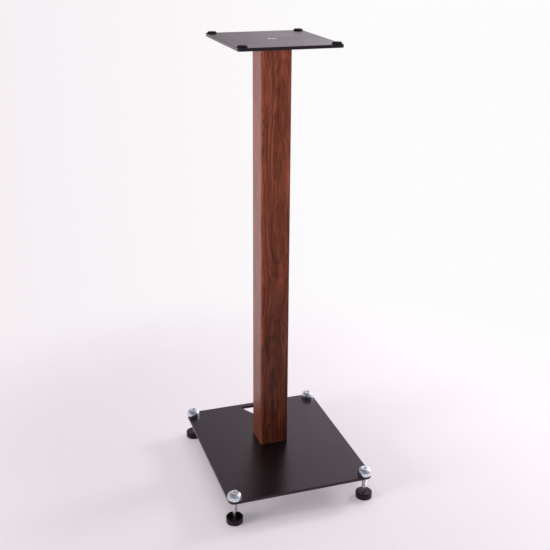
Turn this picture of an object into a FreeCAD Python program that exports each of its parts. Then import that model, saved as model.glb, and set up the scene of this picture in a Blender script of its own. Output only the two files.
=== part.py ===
import FreeCAD, Part
import math
import os

# Speaker stand, in millimetres.
# The frame's origin is on the floor under the centre of the base plate.
# +X is the stand's right, +Y its rear and +Z up.

# ---- driving dimensions ----------------------------------------------------

# Base plate
BASE_WIDTH = 250.0
BASE_DEPTH = 300.0
BASE_THICKNESS = 5.0
BASE_UNDERSIDE = 40.0        # floor to the underside, as levelled
FOOT_INSET = 11.0            # spike axis to both edges, and the corner radius round it

# Top plate
TOP_WIDTH = 165.0
TOP_DEPTH = 190.0
TOP_THICKNESS = 5.0
TOP_CORNER_RADIUS = 5.0

# Both plates
PLATE_ARRIS_RADIUS = 0.5

# Column
COLUMN_SIDE = 50.0
COLUMN_LENGTH = 700.0
COLUMN_ARRIS_RADIUS = 4.0
COLUMN_SETBACK = 25.0        # base plate's centre to the column's centre

# Cable cut-out: an equilateral triangle that points at the column
CUTOUT_SIDE = 46.0           # between the corners, before rounding
CUTOUT_CORNER_RADIUS = 3.0
CUTOUT_BAR = 10.0            # metal left between the cut-out and the rear edge

# Thread of every screw and spike
THREAD_DIAMETER = 8.0
THREAD_CLEARANCE = 0.05      # radial, thread to tapped bore
PLAIN_HOLE_CLEARANCE = 0.3   # radial, thread to a plain hole

# Countersunk socket screws that hold the column
SCREW_LENGTH = 25.0
SCREW_HEAD_DIAMETER = 16.0
SCREW_HEAD_SINK = 0.2        # head's face below the plate's face
SCREW_HEAD_CLEARANCE = 0.1   # radial, head to countersink
SCREW_SOCKET = 5.0           # across flats
SCREW_SOCKET_DEPTH = 3.0
SCREW_END_CHAMFER = 1.0

# Threaded inserts in the column's ends
INSERT_DIAMETER = 12.0
INSERT_LENGTH = 20.0
INSERT_CLEARANCE = 0.05      # radial, insert to its bore
SCREW_RUNOUT = 4.0           # bore left beyond the screw or insert

# Locating pins between plate and column
PIN_DIAMETER = 5.0
PIN_INSET = 10.0             # column face to pin axis
PIN_IN_PLATE = 3.0
PIN_IN_COLUMN = 11.0
PIN_CLEARANCE = 0.05         # radial
PIN_END_CLEARANCE = 0.3

# Domed lock nuts
DOME_DIAMETER = 23.0
DOME_HEIGHT = 11.0
DOME_LIP = 3.5               # straight part of the side
DOME_RIM = 0.6               # flat ring round the bore

# Spikes
SPIKE_CONE_LENGTH = 13.5
SPIKE_TIP_DIAMETER = 1.0
SPIKE_END_SINK = 0.6         # upper end below the dome's top
SPIKE_END_CHAMFER = 0.5
SPIKE_SOCKET = 4.0           # across flats
SPIKE_SOCKET_DEPTH = 4.5

# Floor shoes
SHOE_DIAMETER = 28.0
SHOE_TOP = 11.0              # floor to the shoe's top face
SHOE_UPPER_CHAMFER = 1.0
SHOE_LOWER_CHAMFER = 0.5
DIMPLE_DIAMETER = 6.0
DIMPLE_FLOOR_DIAMETER = 2.0
DIMPLE_DEPTH = 2.0

# Felt discs under the shoes
FELT_DIAMETER = 24.0
FELT_THICKNESS = 1.5
FELT_PROUD = 0.8             # how far the felt stands out of the shoe
FELT_CLEARANCE = 0.25        # radial

# Rubber pads on the top plate
PAD_DIAMETER = 17.0
PAD_TOP_DIAMETER = 13.0
PAD_HEIGHT = 3.0
PAD_MARGIN = 0.5             # pad to the plate's edges
PAD_EDGE_RADIUS = 0.8

# ---- heights and places that follow from them ------------------------------

BASE_TOP = BASE_UNDERSIDE + BASE_THICKNESS
COLUMN_TOP = BASE_TOP + COLUMN_LENGTH
TOP_FACE = COLUMN_TOP + TOP_THICKNESS
DIMPLE_FLOOR = SHOE_TOP - DIMPLE_DEPTH
SPIKE_TOP = BASE_TOP + DOME_HEIGHT - SPIKE_END_SINK
COLUMN_CENTRE = FreeCAD.Vector(0, COLUMN_SETBACK, 0)
TAPPED_RADIUS = THREAD_DIAMETER / 2 + THREAD_CLEARANCE

CORNERS = {
    "front_left": (-1, -1),
    "front_right": (1, -1),
    "rear_left": (-1, 1),
    "rear_right": (1, 1),
}

UP = FreeCAD.Vector(0, 0, 1)
ORIGIN = FreeCAD.Vector(0, 0, 0)


# ---- shapes that repeat ----------------------------------------------------

def corner_place(side, front_or_rear, width, depth, inset):
    """A point that lies in from the corner of a centred rectangle."""
    x = side * (width / 2 - inset)
    y = front_or_rear * (depth / 2 - inset)
    return FreeCAD.Vector(x, y, 0)


def cylinder(radius, low, high, place=ORIGIN):
    """An upright cylinder between two heights."""
    centre = FreeCAD.Vector(place.x, place.y, low)
    return Part.makeCylinder(radius, high - low, centre, UP)


def cone(low_radius, high_radius, low, high, place=ORIGIN):
    """An upright cone or frustum between two heights."""
    centre = FreeCAD.Vector(place.x, place.y, low)
    return Part.makeCone(low_radius, high_radius, high - low, centre, UP)


def hexagon(across_flats, low, high, place=ORIGIN):
    """An upright hexagonal prism between two heights."""
    reach = across_flats / math.sqrt(3)
    corners = []
    for turn in range(7):
        angle = math.radians(60 * turn)
        corners.append(FreeCAD.Vector(place.x + reach * math.cos(angle),
                                      place.y + reach * math.sin(angle), low))
    face = Part.Face(Part.makePolygon(corners))
    return face.extrude(FreeCAD.Vector(0, 0, high - low))


def upright_edges(solid):
    """The edges of a prism that run along Z."""
    return [edge for edge in solid.Edges
            if abs(edge.tangentAt(edge.FirstParameter).z) > 0.999]


def level_edges(solid, heights):
    """The edges of a solid that lie flat at one of the heights."""
    found = []
    for edge in solid.Edges:
        box = edge.BoundBox
        flat = box.ZLength < 1e-6
        if flat and any(abs(box.ZMin - height) < 1e-6 for height in heights):
            found.append(edge)
    return found


def rounded_plate(width, depth, corner_radius, low, high, place=ORIGIN):
    """A plate with rounded corners and softened arrises, centred on place."""
    corner = FreeCAD.Vector(place.x - width / 2, place.y - depth / 2, low)
    plate = Part.makeBox(width, depth, high - low, corner)
    plate = plate.makeFillet(corner_radius, upright_edges(plate))
    arris = min(PLATE_ARRIS_RADIUS, (high - low) / 3)
    return plate.makeFillet(arris, level_edges(plate, (low, high)))


# ---- column and its fixings ------------------------------------------------

def pin_places():
    """The axes of the two locating pins, either side of the screw."""
    reach = COLUMN_SIDE / 2 - PIN_INSET
    left = COLUMN_CENTRE + FreeCAD.Vector(-reach, 0, 0)
    right = COLUMN_CENTRE + FreeCAD.Vector(reach, 0, 0)
    return left, right


def pin_holes(joint, inwards):
    """Holes for both pins at a column end. inwards is 1 where the column is above."""
    radius = PIN_DIAMETER / 2 + PIN_CLEARANCE
    plate_end = joint - inwards * (PIN_IN_PLATE + PIN_END_CLEARANCE)
    column_end = joint + inwards * (PIN_IN_COLUMN + PIN_END_CLEARANCE)
    low, high = sorted((plate_end, column_end))
    left, right = pin_places()
    return cylinder(radius, low, high, left).fuse(cylinder(radius, low, high, right))


def pins(joint, inwards):
    """The two locating pins at a column end."""
    plate_end = joint - inwards * PIN_IN_PLATE
    column_end = joint + inwards * PIN_IN_COLUMN
    low, high = sorted((plate_end, column_end))
    left, right = pin_places()
    radius = PIN_DIAMETER / 2
    return Part.makeCompound([cylinder(radius, low, high, left),
                              cylinder(radius, low, high, right)])


def screw_profile(face, inwards):
    """Heights of a screw that enters at a plate's face: head, neck and end."""
    head = face + inwards * SCREW_HEAD_SINK
    neck = head + inwards * (SCREW_HEAD_DIAMETER - THREAD_DIAMETER) / 2
    end = head + inwards * SCREW_LENGTH
    return head, neck, end


def upright_cone(radius_here, radius_there, here, there, place):
    """A frustum between two heights given in either order."""
    if here < there:
        return cone(radius_here, radius_there, here, there, place)
    return cone(radius_there, radius_here, there, here, place)


def column_screw(face, inwards):
    """A countersunk socket screw on the column's axis."""
    head, neck, end = screw_profile(face, inwards)
    radius = THREAD_DIAMETER / 2
    chamfer = end - inwards * SCREW_END_CHAMFER
    low, high = sorted((neck, chamfer))
    screw = upright_cone(SCREW_HEAD_DIAMETER / 2, radius, head, neck, COLUMN_CENTRE)
    screw = screw.fuse(cylinder(radius, low, high, COLUMN_CENTRE))
    screw = screw.fuse(upright_cone(radius, radius - SCREW_END_CHAMFER, chamfer, end,
                                    COLUMN_CENTRE))
    low, high = sorted((head, head + inwards * SCREW_SOCKET_DEPTH))
    return screw.cut(hexagon(SCREW_SOCKET, low, high, COLUMN_CENTRE)).removeSplitter()


def screw_hole(face, inwards, thickness):
    """The countersunk plain hole that a column screw takes in a plate."""
    head_radius = SCREW_HEAD_DIAMETER / 2 + SCREW_HEAD_CLEARANCE
    hole_radius = THREAD_DIAMETER / 2 + PLAIN_HOLE_CLEARANCE
    seat = face + inwards * SCREW_HEAD_SINK
    neck = seat + inwards * (head_radius - hole_radius)
    low, high = sorted((face, face + inwards * thickness))
    hole = cylinder(hole_radius, low, high, COLUMN_CENTRE)
    low, high = sorted((face, seat))
    hole = hole.fuse(cylinder(head_radius, low, high, COLUMN_CENTRE))
    return hole.fuse(upright_cone(head_radius, hole_radius, seat, neck, COLUMN_CENTRE))


def insert(joint, inwards):
    """A threaded insert, flush with a column end."""
    low, high = sorted((joint, joint + inwards * INSERT_LENGTH))
    sleeve = cylinder(INSERT_DIAMETER / 2, low, high, COLUMN_CENTRE)
    return sleeve.cut(cylinder(TAPPED_RADIUS, low, high, COLUMN_CENTRE))


def insert_hole(joint, inwards, thickness):
    """The stepped bore in a column end: the insert's seat, then the screw's run-out."""
    seat_radius = INSERT_DIAMETER / 2 + INSERT_CLEARANCE
    reach = SCREW_LENGTH + SCREW_HEAD_SINK - thickness
    depth = max(reach, INSERT_LENGTH) + SCREW_RUNOUT
    low, high = sorted((joint, joint + inwards * INSERT_LENGTH))
    seat = cylinder(seat_radius, low, high, COLUMN_CENTRE)
    low, high = sorted((joint, joint + inwards * depth))
    return seat.fuse(cylinder(THREAD_DIAMETER / 2 + PLAIN_HOLE_CLEARANCE, low, high,
                              COLUMN_CENTRE))


def column():
    """The square post, bored at both ends."""
    corner = COLUMN_CENTRE + FreeCAD.Vector(-COLUMN_SIDE / 2, -COLUMN_SIDE / 2, BASE_TOP)
    post = Part.makeBox(COLUMN_SIDE, COLUMN_SIDE, COLUMN_LENGTH, corner)
    post = post.makeFillet(COLUMN_ARRIS_RADIUS, upright_edges(post))
    post = post.cut(insert_hole(BASE_TOP, 1, BASE_THICKNESS))
    post = post.cut(insert_hole(COLUMN_TOP, -1, TOP_THICKNESS))
    post = post.cut(pin_holes(BASE_TOP, 1))
    return post.cut(pin_holes(COLUMN_TOP, -1))


# ---- plates ----------------------------------------------------------------

def cable_cutout():
    """The rounded triangle through the base plate, its flat side to the rear."""
    rear = BASE_DEPTH / 2 - CUTOUT_BAR
    apex = rear - CUTOUT_SIDE * math.sqrt(3) / 2
    corners = [
        FreeCAD.Vector(-CUTOUT_SIDE / 2, rear, BASE_UNDERSIDE),
        FreeCAD.Vector(0, apex, BASE_UNDERSIDE),
        FreeCAD.Vector(CUTOUT_SIDE / 2, rear, BASE_UNDERSIDE),
        FreeCAD.Vector(-CUTOUT_SIDE / 2, rear, BASE_UNDERSIDE),
    ]
    triangle = Part.Face(Part.makePolygon(corners))
    prism = triangle.extrude(FreeCAD.Vector(0, 0, BASE_THICKNESS))
    return prism.makeFillet(CUTOUT_CORNER_RADIUS, upright_edges(prism))


def foot_place(side, front_or_rear):
    """The axis of the foot at a corner of the base plate."""
    return corner_place(side, front_or_rear, BASE_WIDTH, BASE_DEPTH, FOOT_INSET)


def base_plate():
    """The base plate, tapped at its corners for the spikes."""
    plate = rounded_plate(BASE_WIDTH, BASE_DEPTH, FOOT_INSET, BASE_UNDERSIDE, BASE_TOP)
    plate = plate.cut(cable_cutout())
    plate = plate.cut(screw_hole(BASE_UNDERSIDE, 1, BASE_THICKNESS))
    plate = plate.cut(pin_holes(BASE_TOP, 1))
    for side, front_or_rear in CORNERS.values():
        place = foot_place(side, front_or_rear)
        plate = plate.cut(cylinder(TAPPED_RADIUS, BASE_UNDERSIDE, BASE_TOP, place))
    return plate


def top_plate():
    """The top plate, centred over the column."""
    plate = rounded_plate(TOP_WIDTH, TOP_DEPTH, TOP_CORNER_RADIUS, COLUMN_TOP, TOP_FACE,
                          COLUMN_CENTRE)
    plate = plate.cut(screw_hole(TOP_FACE, -1, TOP_THICKNESS))
    return plate.cut(pin_holes(COLUMN_TOP, -1))


def pad(side, front_or_rear):
    """A rubber pad in a corner of the top plate."""
    inset = PAD_DIAMETER / 2 + PAD_MARGIN
    place = COLUMN_CENTRE + corner_place(side, front_or_rear, TOP_WIDTH, TOP_DEPTH, inset)
    high = TOP_FACE + PAD_HEIGHT
    body = cone(PAD_DIAMETER / 2, PAD_TOP_DIAMETER / 2, TOP_FACE, high, place)
    return body.makeFillet(PAD_EDGE_RADIUS, level_edges(body, (high,)))


# ---- feet ------------------------------------------------------------------

def dome_nut(place):
    """A domed lock nut, threaded through, that sits on the base plate."""
    radius = DOME_DIAMETER / 2
    rim = TAPPED_RADIUS + DOME_RIM
    rise = DOME_HEIGHT - DOME_LIP
    half = math.sqrt(0.5)
    centre = FreeCAD.Vector(0, 0, BASE_TOP)
    foot = FreeCAD.Vector(radius, 0, BASE_TOP)
    shoulder = foot + UP * DOME_LIP
    crown = FreeCAD.Vector(rim, 0, BASE_TOP + DOME_HEIGHT)
    middle = FreeCAD.Vector(rim + (radius - rim) * half, 0, shoulder.z + rise * half)
    summit = centre + UP * DOME_HEIGHT
    outline = Part.Wire([
        Part.LineSegment(centre, foot).toShape(),
        Part.LineSegment(foot, shoulder).toShape(),
        Part.Arc(shoulder, middle, crown).toShape(),
        Part.LineSegment(crown, summit).toShape(),
        Part.LineSegment(summit, centre).toShape(),
    ])
    dome = Part.Face(outline).revolve(ORIGIN, UP, 360)
    dome = dome.cut(cylinder(TAPPED_RADIUS, BASE_TOP, BASE_TOP + DOME_HEIGHT))
    dome.translate(place)
    return dome


def spike(place):
    """A threaded spike from the shoe's dimple to just below the dome's top."""
    radius = THREAD_DIAMETER / 2
    shoulder = DIMPLE_FLOOR + SPIKE_CONE_LENGTH
    neck = SPIKE_TOP - SPIKE_END_CHAMFER
    body = cone(SPIKE_TIP_DIAMETER / 2, radius, DIMPLE_FLOOR, shoulder, place)
    body = body.fuse(cylinder(radius, shoulder, neck, place))
    body = body.fuse(cone(radius, radius - SPIKE_END_CHAMFER, neck, SPIKE_TOP, place))
    socket = hexagon(SPIKE_SOCKET, SPIKE_TOP - SPIKE_SOCKET_DEPTH, SPIKE_TOP, place)
    return body.cut(socket).removeSplitter()


def floor_shoe(place):
    """A round shoe with a dimple for the spike and a seat for the felt."""
    radius = SHOE_DIAMETER / 2
    lower = FELT_PROUD + SHOE_LOWER_CHAMFER
    upper = SHOE_TOP - SHOE_UPPER_CHAMFER
    body = cone(radius - SHOE_LOWER_CHAMFER, radius, FELT_PROUD, lower, place)
    body = body.fuse(cylinder(radius, lower, upper, place))
    body = body.fuse(cone(radius, radius - SHOE_UPPER_CHAMFER, upper, SHOE_TOP, place))
    seat = cylinder(FELT_DIAMETER / 2 + FELT_CLEARANCE, FELT_PROUD, FELT_THICKNESS, place)
    dimple = cone(DIMPLE_FLOOR_DIAMETER / 2, DIMPLE_DIAMETER / 2, DIMPLE_FLOOR, SHOE_TOP,
                  place)
    return body.cut(seat).cut(dimple).removeSplitter()


def felt_disc(place):
    """The felt disc that the shoe stands on."""
    return cylinder(FELT_DIAMETER / 2, 0, FELT_THICKNESS, place)


# ---- the stand -------------------------------------------------------------

def stand():
    """Every sub-part by its node name."""
    nodes = {
        "base_plate": base_plate(),
        "top_plate": top_plate(),
        "column": column(),
        "base_screw": column_screw(BASE_UNDERSIDE, 1),
        "top_screw": column_screw(TOP_FACE, -1),
        "base_insert": insert(BASE_TOP, 1),
        "top_insert": insert(COLUMN_TOP, -1),
        "base_pins": pins(BASE_TOP, 1),
        "top_pins": pins(COLUMN_TOP, -1),
    }
    for name, (side, front_or_rear) in CORNERS.items():
        place = foot_place(side, front_or_rear)
        nodes["top_pad_" + name] = pad(side, front_or_rear)
        nodes["dome_nut_" + name] = dome_nut(place)
        nodes["spike_" + name] = spike(place)
        nodes["floor_shoe_" + name] = floor_shoe(place)
        nodes["felt_disc_" + name] = felt_disc(place)
    return nodes


os.makedirs("parts", exist_ok=True)
for node, shape in stand().items():
    shape.exportStep("parts/" + node + ".step")
    print(node, "solids", len(shape.Solids), "volume", round(shape.Volume, 1))
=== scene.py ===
"""Looks of a floor stand for a bookshelf loudspeaker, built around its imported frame.

The frame's axes hold throughout: the origin is on the floor under the base plate's centre, +X is
the stand's right, +Y its rear and +Z up. Shapes are worked in millimetres on the bench and leave
it in metres, so each finished piece has its place in its own mesh.
"""
import logging
import math
from dataclasses import dataclass
from enum import Enum
from typing import Callable, Iterable, Sequence, Union

import bmesh
import bpy
from mathutils import Matrix, Vector


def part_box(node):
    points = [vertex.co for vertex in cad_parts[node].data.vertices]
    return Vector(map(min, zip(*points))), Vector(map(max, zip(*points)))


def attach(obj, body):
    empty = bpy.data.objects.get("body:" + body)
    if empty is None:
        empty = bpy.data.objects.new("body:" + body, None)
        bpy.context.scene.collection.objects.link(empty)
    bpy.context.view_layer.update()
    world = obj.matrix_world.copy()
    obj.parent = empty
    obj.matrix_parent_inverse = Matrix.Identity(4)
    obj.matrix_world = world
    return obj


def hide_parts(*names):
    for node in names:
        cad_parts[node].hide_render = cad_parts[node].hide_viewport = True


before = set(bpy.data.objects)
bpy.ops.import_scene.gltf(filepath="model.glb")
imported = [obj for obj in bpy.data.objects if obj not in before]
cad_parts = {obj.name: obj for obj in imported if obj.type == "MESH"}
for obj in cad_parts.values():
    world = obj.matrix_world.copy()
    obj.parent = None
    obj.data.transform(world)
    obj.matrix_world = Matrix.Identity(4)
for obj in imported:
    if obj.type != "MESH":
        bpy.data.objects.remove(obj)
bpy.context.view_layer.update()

MM = 0.001
UP = Vector((0, 0, 1))
ORIGIN = Vector((0, 0, 0))
LEVEL_PART = Vector((1, 1, 0))   # times a point, this keeps its place on the floor
HALF = Vector((0.5, 0.5, 0.5))   # the middle of a noise's colour
TURN_STEPS = 96                  # facets round a turned piece
ROUND_STEPS = 5                  # facets across a small rounded corner
WIDE_ROUND_STEPS = 16            # facets across a rounded corner of WIDE_ROUND or more
WIDE_ROUND = 2.0
OVERCUT = 1.0                    # how far a cutter stands out of the face that it opens
WELD = 1e-4                      # points nearer than this are one, in millimetres
ON_PLANE = 1e-5                  # points nearer than this to a cutting plane lie on it
LEVEL = 1e-3                     # heights nearer than this are the same
SQUARE = math.radians(60)        # folds sharper than this are square arrises
CREASE = math.radians(35)        # folds sharper than this stay crisp
NOISE_SPAN = (0.3, 0.7)          # most of a noise lies between these

LOG = logging.getLogger("stand")

Span = tuple[float, float]
Triple = tuple[float, float, float]
Colour = tuple[float, float, float, float]
Socket = bpy.types.NodeSocket
Value = Union[float, Triple, Colour, Vector, Socket]
Shape = bmesh.types.BMesh


class Slot(Enum):
    """The record's material slots, which the new pieces carry as labels."""

    POWDER_COAT = "powder_coat"
    WALNUT = "walnut"
    DOME_CHROME = "polished_chrome"
    SPIKE_CHROME = "spike_chrome"
    ZINC = "bright_zinc"
    RUBBER = "pad_rubber"
    SHOE = "shoe_black"
    FELT = "shoe_felt"


class Corner(Enum):
    """The corners of a plate, by the names that the frame's nodes end in."""

    FRONT_LEFT = "front_left"
    FRONT_RIGHT = "front_right"
    REAR_LEFT = "rear_left"
    REAR_RIGHT = "rear_right"


class Side(Enum):
    """Which way a screw points when it is driven in."""

    UPWARDS = 1
    DOWNWARDS = -1


# ---- the bench: shapes in millimetres -----------------------------------------------------------

@dataclass(frozen=True)
class Extent:
    """The box that a node of the frame fills at rest, in millimetres."""

    low: Vector
    high: Vector

    @classmethod
    def of(cls, node: str) -> "Extent":
        """Measures a node by its name."""
        low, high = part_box(node)
        return cls(Vector(low) / MM, Vector(high) / MM)

    @property
    def centre(self) -> Vector:
        """The box's middle."""
        return (self.low + self.high) / 2

    @property
    def size(self) -> Vector:
        """The box's three lengths."""
        return self.high - self.low


@dataclass(frozen=True)
class Turn:
    """A point of a turned profile.

    Attributes:
        radius: Distance from the axis.
        height: Height along the axis.
        rounding: Radius that the profile's corner is rounded to.
    """

    radius: float
    height: float
    rounding: float = 0.0


def tidy(shape: Shape) -> Shape:
    """Welds a shape's doubles and turns its faces outwards.

    Args:
        shape: The shape to tidy.

    Returns:
        The same shape.
    """
    bmesh.ops.remove_doubles(shape, verts=shape.verts[:], dist=WELD)
    bmesh.ops.dissolve_degenerate(shape, edges=shape.edges[:], dist=WELD)
    bmesh.ops.recalc_face_normals(shape, faces=shape.faces[:])
    return shape


def round_points(shape: Shape, points: Iterable[bmesh.types.BMVert], reach: float) -> None:
    """Rounds corners of an outline.

    Args:
        shape: The shape that holds the outline.
        points: The corners.
        reach: Distance from the corner at which its curve starts.
    """
    steps = WIDE_ROUND_STEPS if reach >= WIDE_ROUND else ROUND_STEPS
    bmesh.ops.bevel(shape, geom=list(points), offset=reach, offset_type="OFFSET", affect="VERTICES",
                    segments=steps, profile=0.5, material=-1)


def lathe(profile: Sequence[Turn], ring: bool = False, steps: int = TURN_STEPS) -> Shape:
    """Turns a profile about the upright axis.

    Args:
        profile: The profile's points. It starts and ends on the axis, unless it is a ring.
        ring: Whether the profile closes on itself, clear of the axis.
        steps: Facets round the piece.

    Returns:
        The turned shape.
    """
    shape = bmesh.new()
    points = [shape.verts.new((turn.radius, 0, turn.height)) for turn in profile]
    pairs = list(zip(points, points[1:]))
    if ring:
        pairs.append((points[-1], points[0]))
    for pair in pairs:
        shape.edges.new(pair)
    for point, turn in zip(points, profile):
        if turn.rounding > 0:
            round_points(shape, [point], turn.rounding)
    bmesh.ops.spin(shape, geom=shape.verts[:] + shape.edges[:], cent=ORIGIN, axis=UP, dvec=ORIGIN,
                   angle=math.tau, steps=steps, use_merge=True, use_duplicate=False)
    return tidy(shape)


def plug(radius: float, start: float, stop: float, steps: int) -> Shape:
    """A plain round plug about the axis, from one height to another."""
    return lathe([Turn(0, start), Turn(radius, start), Turn(radius, stop), Turn(0, stop)], steps=steps)


def raise_sheet(shape: Shape, low: float, high: float) -> Shape:
    """Gives a flat sheet its thickness.

    Args:
        shape: A sheet at height 0.
        low: The height of its underside.
        high: The height of its top.

    Returns:
        The same shape, closed.
    """
    raised = bmesh.ops.extrude_face_region(shape, geom=shape.faces[:])["geom"]
    lifted = [item for item in raised if isinstance(item, bmesh.types.BMVert)]
    bmesh.ops.translate(shape, vec=(0, 0, high - low), verts=lifted)
    bmesh.ops.translate(shape, vec=(0, 0, low), verts=shape.verts[:])
    return tidy(shape)


def slab(extent: Extent, corner_radius: float) -> Shape:
    """A slab with rounded upright corners.

    Args:
        extent: The box that it fills.
        corner_radius: Radius of the upright corners.

    Returns:
        The slab.
    """
    size, centre = extent.size, extent.centre
    shape = bmesh.new()
    bmesh.ops.create_grid(shape, x_segments=1, y_segments=1, size=0.5)
    bmesh.ops.scale(shape, vec=(size.x, size.y, 1), verts=shape.verts[:])
    round_points(shape, shape.verts[:], corner_radius)
    raise_sheet(shape, centre.z - size.z / 2, centre.z + size.z / 2)
    bmesh.ops.translate(shape, vec=(centre.x, centre.y, 0), verts=shape.verts[:])
    return shape


def prism(sides: int, reach: float, low: float, high: float, corner_reach: float = 0.0) -> Shape:
    """An upright prism about the axis, whose first corner is to the rear.

    Args:
        sides: How many sides it has.
        reach: Axis to corner.
        low: Height of its lower end.
        high: Height of its upper end.
        corner_reach: Where the rounding of a corner starts, or 0 for sharp corners.

    Returns:
        The prism.
    """
    shape = bmesh.new()
    bmesh.ops.create_circle(shape, cap_ends=True, segments=sides, radius=reach)
    if corner_reach > 0:
        round_points(shape, shape.verts[:], corner_reach)
    return raise_sheet(shape, low, high)


def moved(shape: Shape, place: Vector, turned: float = 0.0) -> Shape:
    """Turns a shape about the axis and carries it to a place.

    Args:
        shape: The shape.
        place: How far to carry it.
        turned: Turn about the axis, in radians.

    Returns:
        The same shape.
    """
    bmesh.ops.rotate(shape, cent=ORIGIN, matrix=Matrix.Rotation(turned, 3, "Z"), verts=shape.verts[:])
    bmesh.ops.translate(shape, vec=place, verts=shape.verts[:])
    return shape


def joined(*shapes: Shape) -> Shape:
    """Puts several shapes into one, side by side.

    Args:
        shapes: The shapes, which are freed.

    Returns:
        A shape that holds them all.
    """
    together = bmesh.new()
    for shape in shapes:
        mesh = bpy.data.meshes.new("bench_part")
        shape.to_mesh(mesh)
        shape.free()
        together.from_mesh(mesh)
        bpy.data.meshes.remove(mesh)
    return together


def within(shape: Shape, reach_at: Callable[[float], float]) -> Shape:
    """Trims a shape about the upright axis to a turned outline.

    Args:
        shape: The shape.
        reach_at: The outline's radius at a height.

    Returns:
        The same shape.
    """
    for point in shape.verts:
        reach = point.co.to_2d().length
        limit = reach_at(point.co.z)
        if reach > limit:
            point.co.x *= limit / reach
            point.co.y *= limit / reach
    return tidy(shape)


def bench_object(name: str, shape: Shape) -> bpy.types.Object:
    """Turns a shape into an object, and frees the shape.

    Args:
        name: The object's name.
        shape: The shape.

    Returns:
        The object, linked to the scene.
    """
    mesh = bpy.data.meshes.new(name)
    shape.to_mesh(mesh)
    shape.free()
    made = bpy.data.objects.new(name, mesh)
    bpy.context.scene.collection.objects.link(made)
    return made


def carve(blank: Shape, cutters: Sequence[Shape]) -> Shape:
    """Cuts bores and openings out of a blank.

    Args:
        blank: The shape to cut.
        cutters: What is cut away from it.

    Returns:
        The carved shape.
    """
    work = bench_object("bench_blank", blank)
    tools = [bench_object("bench_cutter", cutter) for cutter in cutters]
    for tool in tools:
        cut = work.modifiers.new("cut", "BOOLEAN")
        cut.operation = "DIFFERENCE"
        cut.solver = "EXACT"
        cut.object = tool
    carved = bmesh.new()
    carved.from_mesh(work.evaluated_get(bpy.context.evaluated_depsgraph_get()).to_mesh())
    for used in (work, *tools):
        mesh = used.data
        bpy.data.objects.remove(used)
        bpy.data.meshes.remove(mesh)
    return tidy(carved)


def soften(shape: Shape, extent: Extent, radius: float, near: Vector | None = None,
           reach: float = 0.0) -> Shape:
    """Rounds the square arrises at the two ends of a shape.

    Args:
        shape: The shape.
        extent: The box whose lowest and highest arrises are meant.
        radius: Their radius.
        near: Centre of the only spot whose arrises are rounded, or None for all of them.
        reach: Radius of that spot.

    Returns:
        The same shape.
    """
    chosen = []
    for edge in shape.edges:
        level = any(all(abs(point.co.z - height) < LEVEL for point in edge.verts)
                    for height in (extent.low.z, extent.high.z))
        if not level or len(edge.link_faces) != 2 or edge.calc_face_angle() < SQUARE:
            continue
        middle = (edge.verts[0].co + edge.verts[1].co) / 2
        if near is None or (middle - near).to_2d().length < reach:
            chosen.append(edge)
    bmesh.ops.bevel(shape, geom=chosen, offset=radius, offset_type="OFFSET", affect="EDGES",
                    segments=ROUND_STEPS, profile=0.5, material=-1)
    return tidy(shape)


# ---- finishes -----------------------------------------------------------------------------------

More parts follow.
